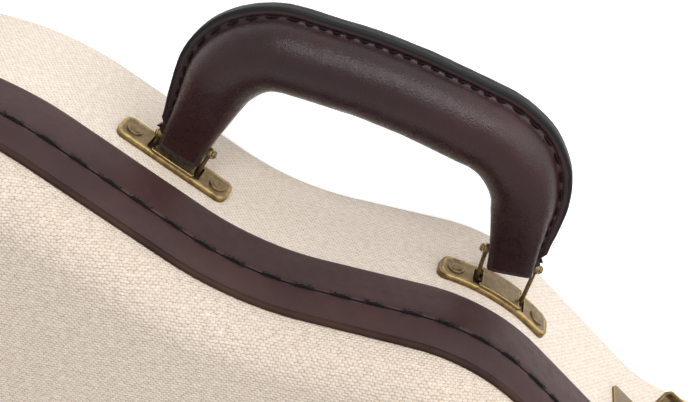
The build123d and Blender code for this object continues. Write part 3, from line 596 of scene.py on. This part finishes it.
def make_band_stitches():
    """Heavy black thread in the groove between the strips, its loose fibres and a painted shade
    line.
    """
    rows = round(LENGTH[-1] / STITCH_PITCH)
    pitch = LENGTH[-1] / rows
    threads, hairs = [], []
    for k in range(rows):
        start = k * pitch + random.uniform(-0.5, 0.5)
        run = STITCH_RUN + random.uniform(-0.6, 0.8)
        tilt = random.uniform(-0.35, 0.35)
        line = []
        for s in range(7):
            t = s / 6
            lift = STITCH_BOW * math.sin(math.pi * t) - STITCH_SINK
            height = STRIP_GROOVE + tilt * (t - 0.5)
            point, out, _ = on_outline(start + run * t, STITCH_INSET, height)
            line.append(point + out * lift + UP * STITCH_WAVER * math.sin(9 * t))
        threads.append(tube(line, STITCH_RADIUS))
        for _ in range(FIBRES):
            t = random.random()
            height = STRIP_GROOVE + random.uniform(-0.4, 0.4)
            point, out, along = on_outline(start + run * t, FIBRE_INSET, height)
            way = out * random.uniform(0.1, 0.8) + along * random.uniform(-1, 1)
            way = (way + UP * random.uniform(-1, 1)).normalized()
            length = random.uniform(0.8, 1.9)
            bend = along * random.uniform(-0.3, 0.3)
            middle = point + way * length * 0.5 + bend * 0.3
            hairs.append(tube([point, middle, point + way * length + bend], FIBRE_RADIUS, 3))
    # A thin black tube all round the groove: painted shade where the groove lies in shadow.
    steps = int(LENGTH[-1] / GROOVE_SHADE_STEP) + 1
    groove = [on_outline(k * GROOVE_SHADE_STEP, GROOVE_SHADE_INSET, STRIP_GROOVE)[0] for k in range(steps)]
    threads.append(tube(groove, GROOVE_SHADE_RADIUS, 5, tips=False))
    mesh_piece("band_stitches_and_groove_shade", *joined(threads), black_thread, "lid", "leather")
    mesh_piece("band_stitch_fibres", *joined(hairs), black_thread, "lid", "leather")


make_body_canvas()
make_lid_canvas()
make_bands()
make_band_stitches()


# Handle

# The pins, and the corners of the handle's centre line between them.
PIN_LEFT, PIN_RIGHT = (162.7, -143.6), (29.4, -149.6)
GRIP_CORNERS = [(152.2, -194.0), (96.05, -198.5), (39.9, -194.0)]
GRIP_CORNER_RADII = [27.0, 220.0, 27.0]
GRIP_STEP, GRIP_TURN = 1.8, 0.07

# Half width and depth of the round in the middle and at the ends, how far the leather runs past a
# pin, and the share of the length over which an end fills out.
GRIP_RADIUS, END_WIDTH, END_DEPTH, PIN_INSET, SWELL = 14.0, 8.8, 7.4, 2.6, 0.24

# The sewn flap: its reach in the middle and at the ends, its thickness, where it starts, how early
# and over what length it grows, and how far under the leather it hides where it is absent.
FLAP_REACH, FLAP_END_REACH, FLAP_THICKNESS = 4.2, 3.2, 6.2
FLAP_SETBACK, FLAP_EARLY, FLAP_GROWTH, FLAP_SUNK = 7.0, 1.2, 1.8, 2.5

# The dip along the row of stitches, and how far the edge paint goes past the flap's corner.
SEW_REACH, SEW_WIDTH, SEW_DEPTH = 0.7, 0.8, 0.2
PAINTED = math.radians(0.7)

# Exponents of the section: the flap's corners, and how tightly the flap meets the round.
FLAP_SQUARE, FLAP_BLEND = 10, 11

# Degrees round half of the section, closest at the flap, and the rings that close a cut end, each
# with how much smaller it is and how far along it lies.
GRIP_ANGLES = [0, 2, 4, 6, 7.6, 8.7, 9.5, 10.1, 10.7, 11.3, 11.9, 12.5, 13.1, 13.8, 14.6, 15.6, 17,
               19, 22, 26, 31, 38, 46, 56, 68, 80, 92, 104, 116, 128, 140, 152, 166, 180]
CUT_RINGS = [(2.3, 4.0), (2.2, 0.4), (0.5, 0.0)]

# Outline of a ragged leaf at an end of the flap: lengths from the end and reaches past the round.
LEAF = [(8.2, -1.5), (8.0, 2.2), (6.4, 1.9), (5.6, 3.0), (4.4, 3.9), (3.9, 2.6), (3.0, 2.9),
        (2.2, 1.3), (0.9, 0.7), (0.7, -1.5)]
LEAF_HALF, LEAF_LIFT, LEAF_CURL = 0.75, 0.9, 0.7
LEAF_SIZES = (1.0, 0.75)

# The stitches of the flap and the loose ends of their thread.
GRIP_STITCH_PITCH, GRIP_STITCH_RUN, GRIP_STITCH_RADIUS, GRIP_STITCH_BOW = 4.9, 3.7, 0.38, 0.55
SEW_SETBACK, LOOSE_SETBACK = FLAP_SETBACK + 3, FLAP_SETBACK + 1.2
LOOSE_ENDS, LOOSE_RADIUS = 12, 0.2


def beyond(pin, corner):
    """The end of the leather, a little past its pin."""
    away = (Vector(pin) - Vector(corner)).normalized()
    return tuple(Vector(pin) + away * PIN_INSET)


def grip_line():
    """Stations along the handle, each its centre, outward direction and length so far."""
    run = [beyond(PIN_LEFT, GRIP_CORNERS[0]), *GRIP_CORNERS, beyond(PIN_RIGHT, GRIP_CORNERS[2])]
    points = rounded_run(run, GRIP_CORNER_RADII, GRIP_STEP, GRIP_TURN)
    lengths = [0.0]
    for a, b in zip(points, points[1:]):
        lengths.append(lengths[-1] + math.dist(a[:2], b[:2]))
    return [(Vector((x, y, HANDLE_Z)), Vector((-math.sin(angle), math.cos(angle), 0)), reach)
            for (x, y, angle), reach in zip(points, lengths)]


def grip_sizes(reach, total):
    """Half width, half depth and reach of the flap at a length along the handle."""
    fullness = min(1.0, reach / (SWELL * total), (total - reach) / (SWELL * total))
    fullness = fullness * fullness * (3 - 2 * fullness)
    width = END_WIDTH + (GRIP_RADIUS - END_WIDTH) * fullness
    depth = END_DEPTH + (GRIP_RADIUS - END_DEPTH) * fullness
    flap = FLAP_END_REACH + (FLAP_REACH - FLAP_END_REACH) * min(1.0, 3 * fullness)
    nearest = min(reach, total - reach)
    present = min(1.0, max(0.0, (nearest - FLAP_SETBACK + FLAP_EARLY) / FLAP_GROWTH))
    return width, depth, flap * present - FLAP_SUNK * (1 - present)


def grip_section(width, depth, flap, angle):
    """Outward and upward reach of the leather at an angle; the slim ends are squarer."""
    c, s = math.cos(angle), math.sin(angle)
    slim = (GRIP_RADIUS - width) / (GRIP_RADIUS - END_WIDTH)
    square = 2 + 1.2 * slim + 5 * slim ** 4
    reach = ((abs(c) / width) ** square + (abs(s) / depth) ** square) ** (-1 / square)
    if c > 0.5:
        edge, half = c / (width + flap), abs(s) / (FLAP_THICKNESS / 2)
        flap_reach = (edge ** FLAP_SQUARE + half ** FLAP_SQUARE) ** (-1 / FLAP_SQUARE)
        reach = (reach ** FLAP_BLEND + flap_reach ** FLAP_BLEND) ** (1 / FLAP_BLEND)
    u, w = reach * c, reach * s
    if flap > 1.5 and c > 0.9:
        w *= 1 - SEW_DEPTH * math.exp(-(((u - (width + SEW_REACH)) / SEW_WIDTH) ** 2))
    return u, w


def make_grip(line, total):
    """Leather round the padded core, its two edges brought together and sewn on the outer side."""
    angles = [math.radians(a) for a in GRIP_ANGLES + [-a for a in GRIP_ANGLES[-2:0:-1]]]
    count = len(angles)
    points, faces, painted = [], [], []

    def ring(station, shrink=0.0, push=0.0):
        """One ring of the leather, made smaller and moved along for the cut ends."""
        centre, out, reach = station
        width, depth, flap = grip_sizes(reach, total)
        for angle in angles:
            u, w = grip_section(width - shrink, depth - shrink, flap - shrink, angle)
            p = centre + out * u + UP * w + out.cross(UP) * push
            rough = 0.22 * noise.noise(p * 0.09) + 0.1 * noise.noise(p * 0.31)
            points.append(p + (out * math.cos(angle) + UP * math.sin(angle)) * rough)

    for shrink, push in CUT_RINGS:
        ring(line[0], shrink, push)
    for station in line:
        ring(station)
    for shrink, push in CUT_RINGS[::-1]:
        ring(line[-1], shrink, -push)

    rings, cut = len(points) // count, len(CUT_RINGS)
    for k in range(rings - 1):
        width, _, flap = grip_sizes(line[min(max(k - cut, 0), len(line) - 1)][2], total)
        limit = math.cos(math.atan2(FLAP_THICKNESS / 2, width + flap) + PAINTED)
        has_flap = cut <= k < rings - 1 - cut and flap > 1
        for s in range(count):
            faces.append(ring_face(k, s, count))
            near = min(math.cos(angles[s]), math.cos(angles[(s + 1) % count])) > limit
            painted.append(has_flap and near)
    faces += [tuple(range(count))[::-1], tuple((rings - 1) * count + s for s in range(count))]
    painted += [False, False]
    piece = mesh_piece("handle_leather", points, faces, grip_leather, "handle", "leather")
    piece.data.materials.append(edge_paint)
    for face, dark in zip(piece.data.polygons, painted):
        face.material_index = 1 if dark else 0
    bm = bmesh.new()
    bm.from_mesh(piece.data)
    bmesh.ops.recalc_face_normals(bm, faces=bm.faces)
    bm.to_mesh(piece.data)
    bm.free()
    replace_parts(piece, "handle_cover", "handle_padding", "handle_core")


def grip_at(line, at):
    """Centre and outward direction at a length along the handle."""
    i = int(np.searchsorted([reach for _, _, reach in line], at))
    i = min(max(i, 1), len(line) - 1)
    t = (at - line[i - 1][2]) / (line[i][2] - line[i - 1][2])
    return line[i - 1][0].lerp(line[i][0], t), line[i - 1][1].lerp(line[i][1], t).normalized()


def make_grip_leaves(line, total):
    """Ragged leaves of the leather's under layer, which show past the flap at its two ends."""
    parts = []
    for end, size in enumerate(LEAF_SIZES):
        points = []
        for side in (-1, 1):
            for k, (at, past) in enumerate(LEAF):
                reach = total - at if end else at
                centre, out = grip_at(line, reach)
                curl = LEAF_CURL * math.sin(1.9 * k + end) * max(past, 0) / 3
                width = grip_sizes(reach, total)[0]
                rise = side * LEAF_HALF + curl + LEAF_LIFT
                points.append(centre + out * (width + past * size) + UP * rise)
        count = len(LEAF)
        faces = [tuple(range(count))[::-1], tuple(range(count, 2 * count))]
        faces += [(k, (k + 1) % count, (k + 1) % count + count, k + count) for k in range(count)]
        parts.append((points, [f[::-1] for f in faces] if end else faces))
    mesh_piece("handle_flap_leaves", *joined(parts), grip_leather, "handle", "leather",
               smooth=False)


def make_grip_stitches(line, total):
    """Close black stitches on both sides of the flap, and the loose ends of the thread."""
    sewn = total - 2 * SEW_SETBACK
    count = int(sewn / GRIP_STITCH_PITCH)
    threads = []
    for k in range(count):
        start = SEW_SETBACK + k * sewn / count
        for side in (-1, 1):
            stitch = []
            for s in range(5):
                at = start + GRIP_STITCH_RUN * s / 4
                centre, out = grip_at(line, at)
                reach = grip_sizes(at, total)[0] + SEW_REACH + 0.25 * (s / 2 - 1)
                lift = FLAP_THICKNESS / 2 - 0.4 + GRIP_STITCH_BOW * math.sin(math.pi * s / 4)
                stitch.append(centre + out * reach + UP * side * lift)
            threads.append(tube(stitch, GRIP_STITCH_RADIUS))
    for at, way in ((LOOSE_SETBACK, 1), (total - LOOSE_SETBACK, -1)):
        centre, out = grip_at(line, at)
        along = out.cross(UP) * way
        foot = centre + out * (grip_sizes(at, total)[0] + SEW_REACH) + UP * FLAP_THICKNESS / 2
        for _ in range(LOOSE_ENDS):
            start = foot + Vector([random.uniform(-0.9, 0.9) for _ in range(3)])
            bend = Vector([random.uniform(-1, 1) for _ in range(3)])
            reach = random.uniform(1.2, 2.6)
            end = start + (bend + along) * reach * 0.8
            threads.append(tube([start, start + bend * reach * 0.5, end], LOOSE_RADIUS, 4))
    mesh_piece("handle_stitches", *joined(threads), black_thread, "handle", "leather")


grip_stations = grip_line()
grip_length = grip_stations[-1][2]
make_grip(grip_stations, grip_length)
make_grip_leaves(grip_stations, grip_length)
make_grip_stitches(grip_stations, grip_length)


# Brass fittings

# Brackets: places along the case, outer sizes, rivets, and the wire of the rolled rim.
BRACKETS, BRACKET_LENGTH, BRACKET_WIDTH, BRACKET_HEIGHT = (164.8, 27.7), 50.0, 12.6, 2.6
RIVET_SPACING, RIVET_RADIUS, RIVET_HEIGHT = 38.6, 3.4, 1.0
RIM_RADIUS, RIM_INSET, RIM_CORNER, RIM_DEPTH = 0.95, 0.7, 3.1, 0.75
SLOT_SPACING = 20.4

# Grid of the dark sheet behind a slot, painted shade where the slot lies in shadow: across it, and
# up it with the lift off the wall at each height. Its middle lies lower, because the wire link
# comes close to the wall there.
SHADE_SHEET_ACROSS = (-2.6, -0.9, 0.9, 2.6)
SHADE_SHEET_UP = ((-5.6, 0.08), (-1.0, 0.03), (1.0, 0.03), (5.6, 0.08))

# Latches and hinges: places along the case, how high and how far apart their heads sit, how far the
# faces of leaf and catch stand off what carries them, and the radius and height of a head.
LATCHES = (285.0, -48.0, -250.0)
LATCH_HEIGHTS, LATCH_SPREAD, CATCH_HEIGHT, CATCH_SPREAD = (31.5, 52.2), 10.3, 69.0, 5.2
HINGES = (227.4, 37.45)
HINGE_BODY_HEIGHT, HINGE_LID_HEIGHT, HINGE_SPREAD = 39.5, 67.5, (-12.5, 0, 12.5)
LEAF_FACE, CATCH_FACE = 1.15, 0.95
LATCH_HEAD, CATCH_HEAD, HINGE_HEAD = (1.5, 0.7), (1.1, 0.5), (1.9, 0.8)

# Heads as shares of a radius and a height, from the rim to the middle; the large ones have a ring.
RINGED = [(1.02, 0), (1.02, 0.4), (0.97, 0.66), (0.88, 0.72), (0.83, 0.4), (0.75, 0.4),
          (0.7, 0.76), (0.6, 0.84), (0.35, 0.92), (0, 0.94)]
DOMED = [(1, 0), (0.96, 0.4), (0.7, 0.8), (0.35, 0.97), (0, 1)]
HEAD_MIDDLE = 0.02


def wall_spot(x, side, inset, z, along=0.0):
    """A point on the wall nearest a place along the case, moved along the wall, and its normal."""
    found = [i for i in range(len(PLACE)) if PLACE[i][1] * side > 1]
    i = min(found, key=lambda k: abs(PLACE[k][0] - x))
    j = i + 1 if (PLACE[(i + 1) % len(PLACE)][0] - PLACE[i][0]) * (x - PLACE[i][0]) > 0 else i - 1
    t = (x - PLACE[i][0]) / (PLACE[j][0] - PLACE[i][0])
    reach = LENGTH[i] + (LENGTH[j] - LENGTH[i]) * t
    return on_outline(reach + along, inset, z)[:2]


def head(shape, radius, height, spot, sides):
    """A rivet head turned from a shape on a spot of the wall."""
    return lathe([(max(HEAD_MIDDLE, radius * r), height * h) for r, h in shape], *spot, sides)


def bracket_rim(x):
    """The rolled edge of a bracket, a rounded frame that follows the wall."""
    half_length, half_width = BRACKET_LENGTH / 2 - RIM_INSET, BRACKET_WIDTH / 2 - RIM_INSET
    inset = BODY_INSET - BRACKET_HEIGHT + RIM_DEPTH
    line = []
    for quarter, (sx, sz) in enumerate(((1, 1), (-1, 1), (-1, -1), (1, -1))):
        for k in range(7):
            angle = math.radians(90 * quarter + 15 * k)
            along = sx * (half_length - RIM_CORNER) + RIM_CORNER * math.cos(angle)
            rise = sz * (half_width - RIM_CORNER) + RIM_CORNER * math.sin(angle)
            line.append(wall_spot(x, -1, inset, HANDLE_Z + rise, along)[0])
        if quarter % 2 == 0:
            for k in range(1, 9):
                along = sx * (half_length - RIM_CORNER) * (1 - 2 * k / 9)
                line.append(wall_spot(x, -1, inset, HANDLE_Z + sz * half_width, along)[0])
    return tube(line + line[:2], RIM_RADIUS, 10, tips=False)


def slot_shade_sheet(x, slot):
    """Points and faces of the dark sheet behind a slot of a bracket, which is painted shade."""
    points = [wall_spot(x, -1, BODY_INSET - lift, HANDLE_Z + rise, slot + along)[0]
              for rise, lift in SHADE_SHEET_UP for along in SHADE_SHEET_ACROSS]
    count = len(SHADE_SHEET_ACROSS)
    faces = [(k, k + 1, k + 1 + count, k + count)
             for k in range(len(points) - count) if (k + 1) % count]
    return points, faces


def make_brackets():
    """The brackets' bright rims, sheets of painted shade behind their slots, and their ringed
    rivets.
    """
    mesh_piece("bracket_rims", *joined([bracket_rim(x) for x in BRACKETS]), bright_brass, "root",
               "antique_brass")
    slot_shade_sheets = [slot_shade_sheet(x, side * SLOT_SPACING / 2) for x in BRACKETS for side in (-1, 1)]
    mesh_piece("bracket_slot_shade", *joined(slot_shade_sheets), painted_slot_shade, "root", "leather")
    face = BODY_INSET - BRACKET_HEIGHT - 0.02
    heads = [head(RINGED, RIVET_RADIUS, RIVET_HEIGHT,
                  wall_spot(x, -1, face, HANDLE_Z, side * RIVET_SPACING / 2), 32)
             for x in BRACKETS for side in (-1, 1)]
    rivets = mesh_piece("bracket_rivet_heads", *joined(heads), brass, "root", "antique_brass")
    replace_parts(rivets, "bracket_rivets")


def make_fitting_heads():
    """The small heads that hold the latches and hinges."""
    on_body, on_lid = [], []
    spots = [wall_spot(x, -1, 0, 0) for x in LATCHES]
    spots.append((Vector((TAIL_X, 0, 0)), Vector((1, 0, 0))))
    for point, out in spots:
        along = Vector((-out.y, out.x, 0))
        for side in (-1, 1):
            for z in LATCH_HEIGHTS:
                foot = point + along * side * LATCH_SPREAD - out * (BODY_INSET - LEAF_FACE) + UP * z
                on_body.append(head(DOMED, *LATCH_HEAD, (foot, out), 18))
            foot = point + along * side * CATCH_SPREAD + out * CATCH_FACE + UP * CATCH_HEIGHT
            on_lid.append(head(DOMED, *CATCH_HEAD, (foot, out), 16))
    for x in HINGES:
        for along in HINGE_SPREAD:
            spot = wall_spot(x, 1, BODY_INSET - LEAF_FACE, HINGE_BODY_HEIGHT, along)
            on_body.append(head(DOMED, *HINGE_HEAD, spot, 18))
            spot = wall_spot(x, 1, -LEAF_FACE, HINGE_LID_HEIGHT, along)
            on_lid.append(head(DOMED, *HINGE_HEAD, spot, 18))
    mesh_piece("body_fitting_heads", *joined(on_body), brass, "root", "antique_brass")
    mesh_piece("lid_fitting_heads", *joined(on_lid), brass, "lid", "antique_brass")


def dress_cad():
    """The CAD pieces whose shape is right get their material."""
    metal = ("bracket_", "link_", "handle_pin", "hinge_", "latch_", "accessory_hinge")
    for name, node in nodes.items():
        node.data.materials.clear()
        node.data.materials.append(brass if name.startswith(metal) else wood)


make_brackets()
make_fitting_heads()
dress_cad()


# Inside of the case

def make_linings():
    """Plush pads of the floor, wall, lip and lid."""
    pad = [(9.3, 6.4), (9.25, 11.4)] + arc(12.2, 11.4, 3.0, 180, 90, 5)[1:]
    pad += [(15.0, 14.55), (19.0, 14.7)]
    floor = hull_panel("floor_pad", pad, plush, "root", "plush", rise=0.5)
    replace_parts(floor, "body_floor_pad")

    top, foot = 40.6, 15.8
    wall = [(9.6, 41.8), (11.2, 41.6), (11.7, top)]
    wall += [(11.85, top + (foot - top) * k / 6) for k in range(1, 6)]
    wall += [(11.7, 14.8), (10.4, 14.3)]
    lining = hull_strip("wall_lining", wall, plush, "root", "plush")
    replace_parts(lining, "body_wall_lining")

    top, foot = 63.0, 43.0
    lip = [(9.3, SEAM + 0.3), (9.25, 62.8), (9.5, 63.6), (10.1, 64.0), (10.7, 63.8), (11.15, top)]
    lip += [(11.3, top + (foot - top) * k / 5) for k in range(1, 5)]
    lip += [(11.2, 42.4), (10.6, 41.9), (9.6, 41.9)]
    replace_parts(hull_strip("lip", lip, plush, "root", "plush"), "body_valance")

    lid = [(11.2, BAND_TOP), (12.6, BAND_TOP - 0.2), (13.4, BAND_TOP + 0.4)]
    lid += arc(CROWN_INSET + ROLL_RADIUS, ROLL_FOOT, 9.3, 180, 90, 7)
    lining = hull_panel("lid_lining_pad", lid, plush, "lid", "plush", flip=True)
    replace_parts(lining, "lid_lining")


def soft_copy(name, node, voxel, smooth, material, body, swell=0.0):
    """A rounded, slightly swollen copy of a CAD solid, which it replaces."""
    mesh = nodes[node].data.copy()
    mesh.materials.clear()
    piece = bpy.data.objects.new(name, mesh)
    bpy.context.scene.collection.objects.link(piece)
    remesh = piece.modifiers.new("remesh", "REMESH")
    remesh.mode, remesh.voxel_size = "VOXEL", voxel * MM
    relax = piece.modifiers.new("relax", "SMOOTH")
    relax.iterations, relax.factor = smooth, 0.5
    if swell:
        push = piece.modifiers.new("push", "DISPLACE")
        push.strength, push.mid_level = swell * MM, 0.0
    bpy.context.view_layer.update()
    depsgraph = bpy.context.evaluated_depsgraph_get()
    made = bpy.data.meshes.new_from_object(piece.evaluated_get(depsgraph))
    piece.modifiers.clear()
    piece.data = made
    made.materials.clear()
    made.materials.append(material)
    made.shade_smooth()
    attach(piece, body)
    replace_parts(piece, node)


make_linings()
soft_copy("cradle_pad", "neck_cradle", 1.6, 5, plush, "root", swell=0.25)
soft_copy("accessory_box_cover", "accessory_box", 1.2, 3, plush, "root")
soft_copy("accessory_lid_cover", "accessory_lid", 0.8, 3, plush, "accessory_lid")
soft_copy("accessory_pull", "accessory_tab", 0.5, 4, band_leather, "accessory_lid")


# Floor, background, light and camera

# The floor, just under the back, with what it gives off to the eye; the world's even light.
FLOOR_REACH, FLOOR_DROP, FLOOR_GREY, FLOOR_LIFT = 6.0, 0.0006, 0.86, 0.6
WORLD_LEVEL = 0.72

# The camera, fitted to the photograph from the handle, the brackets and the band.
CAMERA_PLACE = (0.08978, -0.34767, 0.35524)
CAMERA_RIGHT = (-0.92943, -0.30362, -0.20968)
CAMERA_UP = (0.36870, -0.78685, -0.49492)
CAMERA_BACK = (-0.01472, -0.53730, 0.84327)
CAMERA_LENS, CAMERA_SENSOR, CAMERA_CLIP = 49.85, 36.0, (0.01, 50.0)


def seen_by(wires, *rays):
    """A value that is 1 for the named rays and 0 for the light that falls on the object."""
    path = wires.node("ShaderNodeLightPath")
    seen = path.outputs[rays[0]]
    for ray in rays[1:]:
        seen = wires.math("MAXIMUM", seen, path.outputs[ray])
    return seen


def make_stage():
    """A pale floor that keeps the shadow and looks white to the camera and in reflections."""
    mesh = bpy.data.meshes.new("floor")
    corners = ((-1, -1), (1, -1), (1, 1), (-1, 1))
    mesh.from_pydata([(x * FLOOR_REACH, y * FLOOR_REACH, -FLOOR_DROP) for x, y in corners], [],
                     [(0, 1, 2, 3)])
    floor = bpy.data.objects.new("floor", mesh)
    bpy.context.scene.collection.objects.link(floor)
    material = bpy.data.materials.new("floor_paper")
    material.use_nodes = True
    wires = Wiring(material.node_tree)
    wires.tree.nodes.remove(wires.tree.nodes["Principled BSDF"])
    lift = wires.math("MULTIPLY", seen_by(wires, "Is Camera Ray", "Is Glossy Ray"), FLOOR_LIFT)
    paper = wires.node("ShaderNodeBsdfDiffuse", Color=(FLOOR_GREY, FLOOR_GREY, FLOOR_GREY, 1))
    glow = wires.node("ShaderNodeEmission", Color=(1, 1, 1, 1), Strength=lift)
    both = wires.node("ShaderNodeAddShader")
    wires.feed(both.inputs[0], paper.outputs[0])
    wires.feed(both.inputs[1], glow.outputs[0])
    wires.feed(wires.tree.nodes["Material Output"].inputs["Surface"], both.outputs[0])
    mesh.materials.append(material)


def make_world():
    """Even studio light; the camera and shiny things see white."""
    world = bpy.data.worlds.new("studio")
    bpy.context.scene.world = world
    world.use_nodes = True
    wires = Wiring(world.node_tree)
    seen = seen_by(wires, "Is Camera Ray", "Is Glossy Ray", "Is Transmission Ray")
    level = wires.node("ShaderNodeMapRange", Value=seen, To_Min=WORLD_LEVEL, To_Max=1.0)
    back = wires.tree.nodes["Background"]
    wires.feed(back.inputs["Color"], (1, 1, 1, 1))
    wires.feed(back.inputs["Strength"], level.outputs[0])


def lamp(name, place, aim, size, power):
    """A soft square lamp that faces a point."""
    data = bpy.data.lights.new(name, "AREA")
    data.size, data.energy = size, power
    made = bpy.data.objects.new(name, data)
    made.location = place
    made.rotation_mode = "QUATERNION"
    made.rotation_quaternion = (Vector(aim) - Vector(place)).to_track_quat("-Z", "Y")
    bpy.context.scene.collection.objects.link(made)


def make_camera():
    """The photograph's viewpoint."""
    data = bpy.data.cameras.new("camera")
    data.lens, data.sensor_width = CAMERA_LENS, CAMERA_SENSOR
    data.clip_start, data.clip_end = CAMERA_CLIP
    camera = bpy.data.objects.new("camera", data)
    turn = Matrix((CAMERA_RIGHT, CAMERA_UP, CAMERA_BACK)).transposed()
    camera.rotation_mode = "QUATERNION"
    camera.rotation_quaternion = turn.to_quaternion()
    camera.location = CAMERA_PLACE
    bpy.context.scene.collection.objects.link(camera)
    bpy.context.scene.camera = camera


make_stage()
make_world()
lamp("key", (0.14, -1.15, 0.8), (0.1, -0.15, 0.05), 0.3, 5.0)
lamp("fill", (-0.8, -1.35, 0.6), (0.0, -0.15, 0.05), 1.6, 16.5)
lamp("rim", (0.5, 0.9, 1.0), (0.1, 0.0, 0.05), 0.8, 1.5)
make_camera()
bpy.context.scene.view_settings.view_transform = "Standard"
